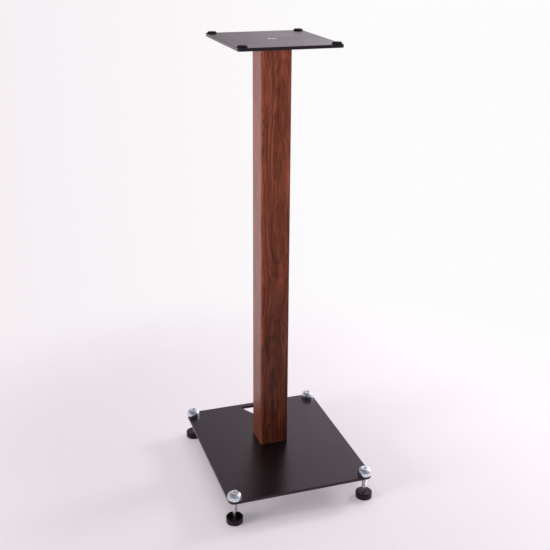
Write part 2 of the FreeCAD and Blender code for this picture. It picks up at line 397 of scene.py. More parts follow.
class Graph:
    """A shader tree that is written one node at a time."""

    def __init__(self, tree: bpy.types.NodeTree) -> None:
        """Takes a tree, and empties it."""
        self.tree = tree
        tree.nodes.clear()

    def node(self, kind: str, inputs: dict | None = None, **settings: object) -> bpy.types.Node:
        """Adds a node.

        Args:
            kind: The node's type without its usual prefix.
            inputs: Input name or index, and a socket to link or a value to set.
            settings: The node's own options.

        Returns:
            The node.
        """
        made = self.tree.nodes.new("ShaderNode" + kind)
        for option, choice in settings.items():
            setattr(made, option, choice)
        for name, value in (inputs or {}).items():
            self.feed(made.inputs[name], value)
        return made

    def feed(self, socket: Socket, value: Value) -> None:
        """Gives an input a link or a value.

        Args:
            socket: The input.
            value: A socket to link, or a value to set.
        """
        if isinstance(value, Socket):
            self.tree.links.new(value, socket)
        else:
            socket.default_value = value

    def math(self, operation: str, *values: Value) -> Socket:
        """Works out a number from one, two or three others."""
        return self.node("Math", dict(enumerate(values)), operation=operation).outputs[0]

    def vector(self, operation: str, *values: Value) -> Socket:
        """Works out a vector from two or three others."""
        return self.node("VectorMath", dict(enumerate(values)), operation=operation).outputs[0]

    def place(self) -> Socket:
        """The point on the piece, in metres in the frame's axes."""
        return self.node("TexCoord").outputs["Object"]

    def axes(self, vector: Socket) -> bpy.types.bpy_prop_collection:
        """The X, Y and Z of a vector, by those names."""
        return self.node("SeparateXYZ", {0: vector}).outputs

    def combined(self, x: Value, y: Value, z: Value) -> Socket:
        """A vector of three numbers."""
        return self.node("CombineXYZ", {0: x, 1: y, 2: z}).outputs[0]

    def background(self, tint: Value, level: Value) -> Socket:
        """Light of a tint and a level that comes from far off."""
        return self.node("Background", {"Color": tint, "Strength": level}).outputs[0]

    def stretched(self, vector: Socket, scale: Triple, centre: Value = ORIGIN) -> Socket:
        """Scales a vector about a centre, by a factor for each axis."""
        return self.vector("MULTIPLY", self.vector("SUBTRACT", vector, centre), scale)

    def level_distance(self, point: Socket, axis: Value = ORIGIN) -> Socket:
        """How far a point is from an upright axis."""
        flat = self.stretched(point, (1.0, 1.0, 0.0), axis)
        return self.node("VectorMath", {0: flat}, operation="LENGTH").outputs["Value"]

    def noise(self, vector: Socket, scale: float | Triple, detail: float = 2.0,
              output: str = "Fac") -> Socket:
        """Smooth noise.

        Args:
            vector: Where it is read.
            scale: Its waves a unit of the vector, alike on all axes or one for each.
            detail: How many finer layers it has.
            output: Fac for a number, Color for a vector.

        Returns:
            The noise.
        """
        if isinstance(scale, tuple):
            vector, scale = self.stretched(vector, scale), 1.0
        return self.node("TexNoise", {"Vector": vector, "Scale": scale, "Detail": detail}).outputs[output]

    def remap(self, value: Socket, target: Span, source: Span = NOISE_SPAN, smooth: bool = False) -> Socket:
        """Carries a number from one range to another, held at the ends.

        Args:
            value: The number.
            target: The range that it ends in.
            source: The range that it is read in.
            smooth: Whether it eases at both ends.

        Returns:
            The new number.
        """
        inputs = {"Value": value, "From Min": source[0], "From Max": source[1], "To Min": target[0],
                  "To Max": target[1]}
        kind = "SMOOTHSTEP" if smooth else "LINEAR"
        return self.node("MapRange", inputs, interpolation_type=kind).outputs["Result"]

    def ramp(self, value: Socket, stops: Sequence[tuple[float, Colour]]) -> Socket:
        """Looks a colour up between stops.

        Args:
            value: The place on the ramp.
            stops: Places and colours, in order.

        Returns:
            The colour.
        """
        made = self.node("ValToRGB", {"Fac": value})
        elements = made.color_ramp.elements
        for _ in stops[2:]:
            elements.new(0.5)
        for element, (position, colour) in zip(elements, stops):
            element.position = position
            element.color = colour
        return made.outputs["Color"]

    def mix(self, factor: Value, first: Value, second: Value, way: str = "MIX") -> Socket:
        """Mixes two colours.

        Args:
            factor: The second one's share.
            first: The first colour.
            second: The second colour.
            way: The blend mode.

        Returns:
            The mixed colour.
        """
        made = self.node("Mix", {0: factor}, data_type="RGBA", blend_type=way)
        for name, value in (("A", first), ("B", second)):
            self.feed(next(item for item in made.inputs if item.name == name and item.type == "RGBA"), value)
        return next(item for item in made.outputs if item.type == "RGBA")

    def bump(self, height: Socket, depth: float, under: Socket | None = None) -> Socket:
        """Turns a height from 0 to 1 into a surface normal.

        Args:
            height: The height.
            depth: How deep a height of 1 is, in metres.
            under: A normal that this one lies on.

        Returns:
            The normal.
        """
        inputs = {"Strength": 1.0, "Distance": depth, "Height": height}
        if under is not None:
            inputs["Normal"] = under
        return self.node("Bump", inputs).outputs["Normal"]


@dataclass(frozen=True)
class Finish:
    """A procedural finish that becomes a material.

    Scales are in waves a metre, and depths are in metres.

    Attributes:
        name: The material's name.
    """

    name: str

    def surface(self, graph: Graph) -> dict[str, Value]:
        """What the finish gives the shader's inputs."""
        raise NotImplementedError

    def material(self) -> bpy.types.Material:
        """Makes the material, or finds it if it is made.

        Returns:
            The material.
        """
        known = bpy.data.materials.get(self.name)
        if known is not None:
            return known
        made = bpy.data.materials.new(self.name)
        made.use_nodes = True
        graph = Graph(made.node_tree)
        shader = graph.node("BsdfPrincipled", self.surface(graph))
        graph.node("OutputMaterial", {"Surface": shader.outputs["BSDF"]})
        return made


@dataclass(frozen=True)
class PowderCoat(Finish):
    """Satin black powder coat with a fine orange peel."""

    name: str = "satin_black_powder_coat"
    colour: Colour = (0.0045, 0.0030, 0.0036, 1.0)
    worn_colour: Colour = (0.0075, 0.0056, 0.0064, 1.0)
    glint: Colour = (1.0, 0.78, 0.92, 1.0)
    sheen: Span = (0.27, 0.34)         # roughness at its least and most
    drift_scale: float = 14.0          # broad changes
    peel_scale: float = 1100.0
    peel_depth: float = 0.000024
    grain_scale: float = 5200.0        # the powder's own grain
    grain_depth: float = 0.000003
    grain_wear: Span = (0.75, 1.25)    # what the grain makes of the wear

    def surface(self, graph: Graph) -> dict[str, Value]:
        """Writes the coat.

        Args:
            graph: The tree being written.

        Returns:
            The shader's inputs.
        """
        place = graph.place()
        drift = graph.noise(place, self.drift_scale, detail=4.0)
        peel = graph.noise(place, self.peel_scale, detail=1.0)
        grain = graph.noise(place, self.grain_scale)
        wear = graph.math("MULTIPLY", drift, graph.remap(grain, self.grain_wear))
        peeled = graph.bump(peel, self.peel_depth)
        return {
            "Base Color": graph.mix(wear, self.colour, self.worn_colour),
            "Roughness": graph.remap(drift, self.sheen),
            "Specular Tint": self.glint,
            "Normal": graph.bump(grain, self.grain_depth, under=peeled),
        }


@dataclass(frozen=True)
class Walnut(Finish):
    """Walnut under a satin lacquer: growth rings about a heart behind the post, fibres and pores.

    The heart leans back on its way up, and twice it does so faster. There the rings rise into
    arches on the front, and elsewhere they run nearly straight.
    """

    name: str = "lacquered_walnut"
    light: Colour = (0.235, 0.066, 0.036, 1.0)
    middle: Colour = (0.185, 0.049, 0.027, 1.0)
    dark: Colour = (0.120, 0.029, 0.016, 1.0)
    line: Colour = (0.052, 0.013, 0.008, 1.0)
    heart: Vector = Vector((0.003, 0.080, 0.425))     # where the heart is at mid-height
    lean: float = 0.029                               # sideways metres a metre up
    lean_back: float = 0.004                          # rearward metres a metre up
    arch_height: float = 0.650                        # height of the upper arch, in metres
    arch_spacing: float = 0.45                        # from one arch to the next
    arch_depth: float = 0.0022                        # how far the heart swings for the arches
    slow_scale: Triple = (7.0, 7.0, 4.0)              # the grain's slow wander
    slow_reach: Triple = (0.026, 0.012, 0.0)
    quick_scale: Triple = (30.0, 30.0, 13.0)          # its quick wander
    quick_reach: Triple = (0.0075, 0.0035, 0.0)
    ring: float = 0.0014                              # from one ring to the next, in metres
    season: tuple[float, ...] = (0.0, 0.35, 0.75, 0.92, 1.0)   # where a ring changes colour
    calm: float = 0.22                                # how far the rings fade into the wood
    ripple_scale: Triple = (200.0, 200.0, 30.0)       # the rings' own unevenness
    ripple_reach: Span = (-0.0010, 0.0010)
    band: float = 0.0050                              # from one darker band of rings to the next
    band_limits: Span = (0.44, 0.66)
    band_strength: Span = (0.0, 0.7)
    band_calm: float = 0.4                            # what shows of the rings in a band
    fibre_scale: Triple = (1300.0, 1300.0, 30.0)
    fibre_shade: Span = (0.82, 1.16)
    fibre_depth: float = 0.000006
    streak_scale: Triple = (260.0, 260.0, 7.0)
    streak_shade: Span = (0.52, 1.48)
    mottle_scale: Triple = (75.0, 75.0, 24.0)
    mottle_shade: Span = (0.80, 1.20)
    mottle_depth: float = 0.00022
    pore_scale: Triple = (2400.0, 2400.0, 110.0)
    pore_limits: Span = (0.64, 0.74)
    pore_strength: Span = (0.0, 0.8)
    sheen: Span = (0.34, 0.43)                        # roughness at its least and most
    glint: float = 0.42                               # its reflection, 0.5 for ordinary varnish
    glint_tint: Colour = (0.42, 0.42, 0.42, 1.0)      # what is left of it seen straight on

    def along_the_grain(self, graph: Graph) -> Socket:
        """A point of the piece, shifted by the wander of the grain.

        Args:
            graph: The tree being written.

        Returns:
            The point, in metres, whose Z runs along the fibres.
        """
        place = graph.place()
        slow = graph.noise(place, self.slow_scale, detail=1.0, output="Color")
        quick = graph.noise(place, self.quick_scale, output="Color")
        far = graph.stretched(slow, self.slow_reach, HALF)
        near = graph.stretched(quick, self.quick_reach, HALF)
        return graph.vector("ADD", place, graph.vector("ADD", far, near))

    def heart_distance(self, graph: Graph, point: Socket) -> Socket:
        """How far a point is from the heart of the tree.

        Args:
            graph: The tree being written.
            point: The point.

        Returns:
            The distance in metres.
        """
        height = graph.axes(point)["Z"]
        up = graph.math("SUBTRACT", height, self.heart.z)
        phase = graph.math("MULTIPLY", graph.math("SUBTRACT", height, self.arch_height),
                           math.tau / self.arch_spacing)
        swing = graph.math("MULTIPLY_ADD", graph.math("SINE", phase), self.arch_depth, self.heart.y)
        heart = graph.combined(graph.math("MULTIPLY_ADD", up, self.lean, self.heart.x),
                               graph.math("MULTIPLY_ADD", up, self.lean_back, swing), 0.0)
        ripple = graph.noise(point, self.ripple_scale, detail=3.0)
        return graph.math("ADD", graph.level_distance(point, heart),
                          graph.remap(ripple, self.ripple_reach, (0.0, 1.0)))

    def wood(self, graph: Graph, radius: Socket) -> Socket:
        """The colour of the growth rings.

        Args:
            graph: The tree being written.
            radius: Distance from the heart.

        Returns:
            The colour.
        """
        season = graph.math("FRACT", graph.math("DIVIDE", radius, self.ring))
        colours = (self.middle, self.light, self.middle, self.dark, self.middle)
        rings = graph.mix(self.calm, graph.ramp(season, list(zip(self.season, colours))), self.middle)
        banding = graph.noise(graph.combined(radius, 0.0, 0.0), 1.0 / self.band)
        darker = graph.remap(banding, self.band_strength, self.band_limits, smooth=True)
        return graph.mix(darker, rings, graph.mix(self.band_calm, self.dark, rings))

    def surface(self, graph: Graph) -> dict[str, Value]:
        """Writes the lacquered wood.

        Args:
            graph: The tree being written.

        Returns:
            The shader's inputs.
        """
        point = self.along_the_grain(graph)
        wood = self.wood(graph, self.heart_distance(graph, point))
        fibre = graph.noise(point, self.fibre_scale, detail=3.0)
        streak = graph.noise(point, self.streak_scale, detail=3.0)
        mottle = graph.noise(point, self.mottle_scale, detail=3.0)
        shade = graph.math("MULTIPLY", graph.remap(fibre, self.fibre_shade),
                           graph.remap(streak, self.streak_shade))
        shade = graph.math("MULTIPLY", shade, graph.remap(mottle, self.mottle_shade))
        grained = graph.mix(1.0, wood, graph.combined(shade, shade, shade), way="MULTIPLY")
        pore = graph.noise(point, self.pore_scale, detail=1.0)
        pores = graph.remap(pore, self.pore_strength, self.pore_limits)
        swell = graph.bump(mottle, self.mottle_depth)
        return {
            "Base Color": graph.mix(pores, grained, self.line),
            "Roughness": graph.remap(streak, self.sheen),
            "Specular IOR Level": self.glint,
            "Specular Tint": self.glint_tint,
            "Normal": graph.bump(graph.math("SUBTRACT", fibre, pores), self.fibre_depth, under=swell),
        }


@dataclass(frozen=True)
class PolishedMetal(Finish):
    """Plated metal with a slight waviness, and darker patches in its colour that are painted reflections."""

    name: str = "bright_plated_dome"
    colour: Colour = (0.90, 0.94, 0.99, 1.0)
    # painted reflection: this darker colour, laid in patches, stands in for the dark parts of the room that
    # the metal reflects
    painted_dark_reflection: Colour = (0.60, 0.65, 0.72, 1.0)
    painted_reflection_scale: float = 300.0
    painted_reflection_limits: Span = (0.38, 0.64)
    metallic: float = 1.0              # less for a dull plating
    sheen: Span = (0.18, 0.32)         # roughness where it is cleanest and where it is smeared
    smear_scale: Triple = (400.0, 400.0, 1100.0)
    smear_limits: Span = (0.35, 0.65)
    wave_scale: float = 260.0
    wave_depth: float = 0.00038

    def surface(self, graph: Graph) -> dict[str, Value]:
        """Writes the plating.

        Args:
            graph: The tree being written.

        Returns:
            The shader's inputs.
        """
        place = graph.place()
        wave = graph.noise(place, self.wave_scale, detail=1.0)
        smear = graph.noise(place, self.smear_scale, detail=4.0)
        # painted reflection: where the darker patches lie
        painted_reflections = graph.noise(place, self.painted_reflection_scale, detail=3.0)
        share = graph.remap(painted_reflections, (0.0, 1.0), self.painted_reflection_limits, smooth=True)
        return {
            "Base Color": graph.mix(share, self.colour, self.painted_dark_reflection),
            "Metallic": self.metallic,
            "Roughness": graph.remap(smear, self.sheen, self.smear_limits),
            "Normal": graph.bump(wave, self.wave_depth),
        }


@dataclass(frozen=True)
class TurnedMetal(Finish):
    """Metal with the fine rings of a lathe tool about one upright axis.

    Attributes:
        metallic: 1 for bare metal, 0 where it is painted.
        axis: A point on the turning axis, in metres.
        feed: From one tool ring to the next, in metres.
        lift: How much lighter than its colour it gets.
    """

    colour: Colour = (0.50, 0.51, 0.53, 1.0)
    glint: float = 0.5                 # the paint's reflection, 0.5 for ordinary varnish
    glint_tint: Colour = (1.0, 1.0, 1.0, 1.0)
    metallic: float = 1.0
    sheen: Span = (0.30, 0.42)         # roughness at its least and most
    axis: Vector = Vector((0.0, 0.025, 0.0))
    feed: float = 0.00035
    groove: float = 0.000004           # depth of the rings and of the specks between them
    lift: float = 1.45
    cloud_scale: float = 420.0
    cloud_share: Span = (0.0, 0.5)
    speck_scale: float = 3600.0

    def surface(self, graph: Graph) -> dict[str, Value]:
        """Writes the turned face.

        Args:
            graph: The tree being written.

        Returns:
            The shader's inputs.
        """
        place = graph.place()
        turns = graph.math("MULTIPLY", graph.level_distance(place, self.axis), math.tau / self.feed)
        rings = graph.math("MULTIPLY_ADD", graph.math("SINE", turns), 0.5, 0.5)
        cloud = graph.noise(place, self.cloud_scale, detail=4.0)
        speck = graph.noise(place, self.speck_scale)
        lighter = tuple(min(1.0, self.lift * part) for part in self.colour)
        turned = graph.bump(rings, self.groove)
        return {
            "Base Color": graph.mix(graph.remap(cloud, self.cloud_share), self.colour, lighter),
            "Metallic": self.metallic,
            "Specular IOR Level": self.glint,
            "Specular Tint": self.glint_tint,
            "Roughness": graph.remap(cloud, self.sheen),
            "Normal": graph.bump(speck, self.groove, under=turned),
        }


@dataclass(frozen=True)
class ShoeBlack(TurnedMetal):
    """Satin black paint over turned metal."""

    colour: Colour = (0.0035, 0.0020, 0.0024, 1.0)
    glint: float = 0.34
    glint_tint: Colour = (1.0, 0.66, 0.80, 1.0)
    metallic: float = 0.0
    sheen: Span = (0.26, 0.34)
    feed: float = 0.0005
    groove: float = 0.000006


@dataclass(frozen=True)
class Rubber(Finish):
    """Matt black rubber with a moulded grain and a trace of dust."""

    name: str = "matt_black_rubber"
    colour: Colour = (0.0050, 0.0045, 0.0048, 1.0)
    glint: float = 0.25
    sheen: Span = (0.58, 0.74)         # roughness at its least and most
    grain_scale: float = 2400.0
    grain_depth: float = 0.00002
    dust: Colour = (0.018, 0.016, 0.016, 1.0)
    dust_scale: float = 260.0
    dust_limits: Span = (0.55, 0.85)
    dust_share: Span = (0.0, 0.5)

    def surface(self, graph: Graph) -> dict[str, Value]:
        """Writes the rubber.

        Args:
            graph: The tree being written.

        Returns:
            The shader's inputs.
        """
        place = graph.place()
        grain = graph.noise(place, self.grain_scale, detail=3.0)
        dusty = graph.noise(place, self.dust_scale, detail=5.0)
        share = graph.remap(dusty, self.dust_share, self.dust_limits)
        return {
            "Base Color": graph.mix(share, self.colour, self.dust),
            "Roughness": graph.remap(dusty, self.sheen),
            "Specular IOR Level": self.glint,
            "Normal": graph.bump(grain, self.grain_depth),
        }


@dataclass(frozen=True)
class Felt(Finish):
    """Black pressed wool felt."""

    name: str = "black_wool_felt"
    colour: Colour = (0.016, 0.016, 0.018, 1.0)
    fibre_colour: Colour = (0.060, 0.060, 0.066, 1.0)
    fibre_scale: Triple = (2600.0, 700.0, 1500.0)
    fibre_limits: Span = (0.45, 0.75)
    fibre_depth: float = 0.00012
    tangle_scale: float = 500.0
    tangle_reach: Triple = (0.0035, 0.0035, 0.0035)
    sheen: Span = (0.86, 0.97)         # roughness at its least and most
    fuzz: float = 0.4
    fuzz_roughness: float = 0.5

    def surface(self, graph: Graph) -> dict[str, Value]:
        """Writes the felt.

        Args:
            graph: The tree being written.

        Returns:
            The shader's inputs.
        """
        place = graph.place()
        drift = graph.noise(place, self.tangle_scale, detail=3.0, output="Color")
        tangled = graph.vector("MULTIPLY_ADD", drift, self.tangle_reach, place)
        fibres = graph.noise(tangled, self.fibre_scale, detail=4.0)
        share = graph.remap(fibres, (0.0, 1.0), self.fibre_limits)
        return {
            "Base Color": graph.mix(share, self.colour, self.fibre_colour),
            "Roughness": graph.remap(fibres, self.sheen),
            "Normal": graph.bump(fibres, self.fibre_depth),
            "Sheen Weight": self.fuzz,
            "Sheen Roughness": self.fuzz_roughness,
        }


POWDER_COAT = PowderCoat()
WALNUT = Walnut()
DOME_CHROME = PolishedMetal()
# the thread's plating takes paler patches of painted reflection
SPIKE_CHROME = PolishedMetal(name="bright_plated_thread", colour=(0.94, 0.92, 0.95, 1.0),
                             painted_dark_reflection=(0.78, 0.77, 0.80, 1.0), metallic=0.70, sheen=(0.34, 0.46),
                             wave_scale=700.0, wave_depth=0.00001)
SCREW_ZINC = TurnedMetal("bright_zinc_screw", colour=(0.68, 0.68, 0.72, 1.0), sheen=(0.42, 0.52))
INSERT_BRASS = TurnedMetal("turned_brass", colour=(0.66, 0.47, 0.21, 1.0), sheen=(0.22, 0.32))
PIN_STEEL = TurnedMetal("ground_steel", colour=(0.56, 0.57, 0.58, 1.0), sheen=(0.20, 0.30), feed=0.0009)
RUBBER = Rubber()
FELT = Felt()


# ---- pieces -------------------------------------------------------------------------------------

@dataclass
class Piece:
    """A finished piece that stands for nodes of the frame.

    Attributes:
        name: The piece's name.
        shape: Its shape in millimetres.
        finish: Its finish.
        slot: The record's slot that the finish belongs to. It is not used.
        stands_for: The nodes that it stands for.
        body: The body that it rides on.
    """

    name: str
    shape: Shape
    finish: Finish
    slot: Slot
    stands_for: tuple[str, ...]
    body: str = "stand"

    def fit(self) -> None:
        """Makes the object, dresses it and puts it on its body."""
        bmesh.ops.scale(self.shape, vec=(MM, MM, MM), verts=self.shape.verts[:])
        made = bench_object(self.name, self.shape)
        mesh = made.data
        mesh.shade_smooth()
        mesh.set_sharp_from_angle(angle=CREASE)
        mesh.materials.append(self.finish.material())
        weighted = made.modifiers.new("flat_faces_stay_flat", "WEIGHTED_NORMAL")
        weighted.keep_sharp = True
        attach(made, self.body)
        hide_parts(*self.stands_for)
        LOG.info("%s: %d faces, on %s", self.name, len(mesh.polygons), self.body)


@dataclass(frozen=True)
class Thread:
    """The metric thread that all the fasteners share, in millimetres.

    Attributes:
        steps: Facets in a turn.
        run_in: Turns that are made below the lower end, and cut off.
        weld: Points of a turn and of the next nearer than this are one.
    """

    radius: float = 4.0
    pitch: float = 1.25
    depth: float = 0.70
    crest: float = 0.16
    root: float = 0.24
    tapped_clearance: float = 0.05
    plain_clearance: float = 0.3
    steps: int = 40
    run_in: int = 2
    weld: float = 0.01

    @property
    def tapped_radius(self) -> float:
        """Radius of a tapped bore."""
        return self.radius + self.tapped_clearance

    @property
    def plain_radius(self) -> float:
        """Radius of a plain hole."""
        return self.radius + self.plain_clearance

    def rod(self, low: float, high: float) -> Shape:
        """A threaded rod, cut square at both ends.

        Args:
            low: Height of the lower end.
            high: Height of the upper end.

        Returns:
            The rod.
        """
        flank = (self.pitch - self.crest - self.root) / 2
        inner = self.radius - self.depth
        tooth = ((0.0, inner), (self.root, inner), (self.root + flank, self.radius),
                 (self.root + flank + self.crest, self.radius))
        first = low - self.run_in * self.pitch
        turns = math.ceil((high - low) / self.pitch) + self.run_in + 1
        shape = bmesh.new()
        points = [shape.verts.new((radius, 0, first + turn * self.pitch + rise))
                  for turn in range(turns) for rise, radius in tooth]
        for pair in zip(points, points[1:]):
            shape.edges.new(pair)
        bmesh.ops.spin(shape, geom=shape.verts[:] + shape.edges[:], cent=ORIGIN, axis=UP,
                       dvec=UP * self.pitch / self.steps, angle=math.tau, steps=self.steps,
                       use_merge=False, use_duplicate=False)
        bmesh.ops.remove_doubles(shape, verts=shape.verts[:], dist=self.weld)
        for height, above in ((low, False), (high, True)):
            bmesh.ops.bisect_plane(shape, geom=shape.verts[:] + shape.edges[:] + shape.faces[:],
                                   dist=ON_PLANE, plane_co=UP * height, plane_no=UP,
                                   clear_outer=above, clear_inner=not above)
        bmesh.ops.holes_fill(shape, edges=shape.edges[:], sides=0)
        return tidy(shape)


THREAD = Thread()


@dataclass(frozen=True)
class ColumnScrew:
    """A countersunk socket screw on the column's axis, in millimetres.

    Attributes:
        face: Height of the plate's outer face.
        side: Which way the screw points.
        socket: The socket's width across its flats.
    """

    face: float
    side: Side
    head_radius: float = 8.0
    head_sink: float = 0.2
    head_edge: float = 0.25
    length: float = 25.0
    head_clearance: float = 0.1
    socket: float = 5.0
    socket_depth: float = 3.0
    end_chamfer: float = 1.0

    def at(self, depth: float) -> float:
        """The height that lies a depth below the head's face."""
        return self.face + self.side.value * (self.head_sink + depth)

    def hole(self, thickness: float) -> Shape:
        """What the screw's countersunk hole takes out of a plate.

        Args:
            thickness: The plate's thickness.

        Returns:
            The cutter.
        """
        wide, narrow = self.head_radius + self.head_clearance, THREAD.plain_radius
        outside = self.face - self.side.value * OVERCUT
        beyond = self.face + self.side.value * (thickness + OVERCUT)
        return lathe([Turn(0, outside), Turn(wide, outside), Turn(wide, self.at(0)),
                      Turn(narrow, self.at(wide - narrow)), Turn(narrow, beyond), Turn(0, beyond)])

    def shape(self) -> Shape:
        """The screw: its head and core are turned, its shank is threaded and its socket is cut.

        Returns:
            The screw.
        """
        radius = THREAD.radius
        neck = self.head_radius - radius
        tip = self.at(self.length)
        head = lathe([Turn(0, self.at(0)), Turn(self.head_radius - self.head_edge, self.at(0)),
                      Turn(self.head_radius, self.at(self.head_edge)),
                      Turn(radius, self.at(neck + self.head_edge)), Turn(0, self.at(neck + self.head_edge))])
        low, high = sorted((self.at(-OVERCUT), self.at(self.socket_depth)))
        head = carve(head, [prism(6, self.socket / math.sqrt(3), low, high)])
        rod = THREAD.rod(*sorted((self.at(neck), tip)))
        return joined(head, within(rod, lambda height: radius - self.end_chamfer + abs(tip - height)))


@dataclass(frozen=True)
class ColumnEnd:
    """What holds a plate to one end of the post, in millimetres.

    Attributes:
        end: How the nodes' names start.
        side: Which way the screw points.
        end_clearance: What the pins' bores are deeper than the pins.
        run_out: What the bore goes on past the screw's tip.
    """

    end: str
    side: Side
    insert_clearance: float = 0.05
    pin_clearance: float = 0.05
    pin_bore_steps: int = 32
    end_clearance: float = 0.3
    run_out: float = 4.0

    def span(self, kind: str) -> Span:
        """The heights of a node, in the order that the screw passes them.

        Args:
            kind: How the node's name ends.

        Returns:
            Where the node starts and ends.
        """
        extent = Extent.of(f"{self.end}_{kind}")
        if self.side is Side.UPWARDS:
            return extent.low.z, extent.high.z
        return extent.high.z, extent.low.z

    def insert_bore(self) -> Shape:
        """The stepped bore that takes the insert and the screw's tip.

        Returns:
            The cutter.
        """
        insert = Extent.of(f"{self.end}_insert")
        near, far = self.span("insert")
        deepest = self.span("screw")[1] + self.side.value * self.run_out
        outside = near - self.side.value * OVERCUT
        seat = insert.size.x / 2 + self.insert_clearance
        bore = lathe([Turn(0, outside), Turn(seat, outside), Turn(seat, far),
                      Turn(THREAD.plain_radius, far), Turn(THREAD.plain_radius, deepest),
                      Turn(0, deepest)])
        return moved(bore, insert.centre * LEVEL_PART)

    def pin_bores(self) -> list[Shape]:
        """The bores of both pins, through the joint of plate and post.

        Returns:
            The cutters.
        """
        pins = Extent.of(f"{self.end}_pins")
        start, stop = self.span("pins")
        start -= self.side.value * self.end_clearance
        stop += self.side.value * self.end_clearance
        pin_radius = pins.size.y / 2
        bore = pin_radius + self.pin_clearance
        reach = Vector((pins.size.x / 2 - pin_radius, 0, 0))
        return [moved(plug(bore, start, stop, self.pin_bore_steps), (pins.centre + reach * way) * LEVEL_PART)
                for way in (-1, 1)]

    def screw(self) -> ColumnScrew:
        """The screw, sunk in its plate."""
        start = self.span("screw")[0]
        return ColumnScrew(start - self.side.value * ColumnScrew.head_sink, self.side)

    def screw_hole(self, plate: Extent) -> Shape:
        """The cutter for the screw's hole in a plate."""
        return moved(self.screw().hole(plate.size.z), self.screw_place())

    def screw_place(self) -> Vector:
        """Where the screw's axis stands."""
        return Extent.of(f"{self.end}_screw").centre * LEVEL_PART

    def pieces(self) -> list[Piece]:
        """The screw."""
        shape = moved(self.screw().shape(), self.screw_place())
        return [Piece(f"socket_screw_{self.end}", shape, SCREW_ZINC, Slot.ZINC, (f"{self.end}_screw",))]


BASE_END = ColumnEnd("base", Side.UPWARDS)
TOP_END = ColumnEnd("top", Side.DOWNWARDS)


@dataclass(frozen=True)
class Column:
    """The walnut post with its bores, in millimetres."""

    arris_radius: float = 4.0
    end_arris: float = 0.35

    def pieces(self) -> list[Piece]:
        """The post alone.

        Returns:
            The post.
        """
        extent = Extent.of("column")
        post = soften(slab(extent, self.arris_radius), extent, self.end_arris)
        cutters = []
        for end in (BASE_END, TOP_END):
            cutters += [end.insert_bore(), *end.pin_bores()]
        return [Piece("walnut_post", carve(post, cutters), WALNUT, Slot.WALNUT, ("column",))]


@dataclass(frozen=True)
class TopPlate:
    """The top plate and its four rubber pads, in millimetres."""

    corner_radius: float = 5.0
    arris: float = 0.5
    pad_top_radius: float = 6.5
    pad_edge: float = 0.8
    pad_foot: float = 0.15
    pad_steps: int = 64

    def plate(self) -> Shape:
        """The plate with its screw hole and pin holes.

        Returns:
            The plate in its place.
        """
        extent = Extent.of("top_plate")
        blank = soften(slab(extent, self.corner_radius), extent, self.arris)
        return carve(blank, [TOP_END.screw_hole(extent), *TOP_END.pin_bores()])

    def pad(self, extent: Extent) -> Shape:
        """A pad: a low frustum with a rounded rim.

        Args:
            extent: Its box.

        Returns:
            The pad in its place.
        """
        low, high = extent.low.z, extent.high.z
        turned = lathe([Turn(0, low), Turn(extent.size.x / 2, low, self.pad_foot),
                        Turn(self.pad_top_radius, high, self.pad_edge), Turn(0, high)],
                       steps=self.pad_steps)
        return moved(turned, extent.centre * LEVEL_PART)

    def pieces(self) -> list[Piece]:
        """The plate and the pads.

        Returns:
            The pieces.
        """
        made = [Piece("steel_top_plate", self.plate(), POWDER_COAT, Slot.POWDER_COAT, ("top_plate",))]
        for corner in Corner:
            node = f"top_pad_{corner.value}"
            pad = self.pad(Extent.of(node))
            made.append(Piece(f"rubber_pad_{corner.value}", pad, RUBBER, Slot.RUBBER, (node,)))
        return made


@dataclass(frozen=True)
class BasePlate:
    """The base plate with its tapped corners and its cable cut-out, in millimetres.

    Attributes:
        bar: Metal between the cut-out and the rear edge.
    """

    corner_radius: float = 11.0
    arris: float = 0.5
    cut_out_side: float = 46.0
    cut_out_radius: float = 3.0
    cut_out_arris: float = 0.35
    bar: float = 10.0
    bore_steps: int = 48

    def cut_out_place(self, extent: Extent) -> Vector:
        """The middle of the triangle, whose flat side lies along the bar."""
        inner_radius = self.cut_out_side / (2 * math.sqrt(3))
        return Vector((extent.centre.x, extent.high.y - self.bar - inner_radius, 0))

    def cut_out(self, extent: Extent) -> Shape:
        """The cable cut-out: a rounded triangle that points at the post.

        Args:
            extent: The plate's box.

        Returns:
            The cutter.
        """
        triangle = prism(3, self.cut_out_side / math.sqrt(3), extent.low.z - OVERCUT,
                         extent.high.z + OVERCUT, corner_reach=self.cut_out_radius * math.sqrt(3))
        return moved(triangle, self.cut_out_place(extent), turned=math.pi)

    def pieces(self) -> list[Piece]:
        """The plate alone.

        Returns:
            The plate.
        """
        extent = Extent.of("base_plate")
        blank = soften(slab(extent, self.corner_radius), extent, self.arris)
        cutters = [self.cut_out(extent), *BASE_END.pin_bores(), BASE_END.screw_hole(extent)]
        for corner in Corner:
            tapped = plug(THREAD.tapped_radius, extent.low.z - OVERCUT, extent.high.z + OVERCUT,
                          self.bore_steps)
            cutters.append(moved(tapped, Extent.of(f"spike_{corner.value}").centre * LEVEL_PART))
        plate = soften(carve(blank, cutters), extent, self.cut_out_arris, self.cut_out_place(extent),
                       self.cut_out_side)
        return [Piece("steel_base_plate", plate, POWDER_COAT, Slot.POWDER_COAT, ("base_plate",))]


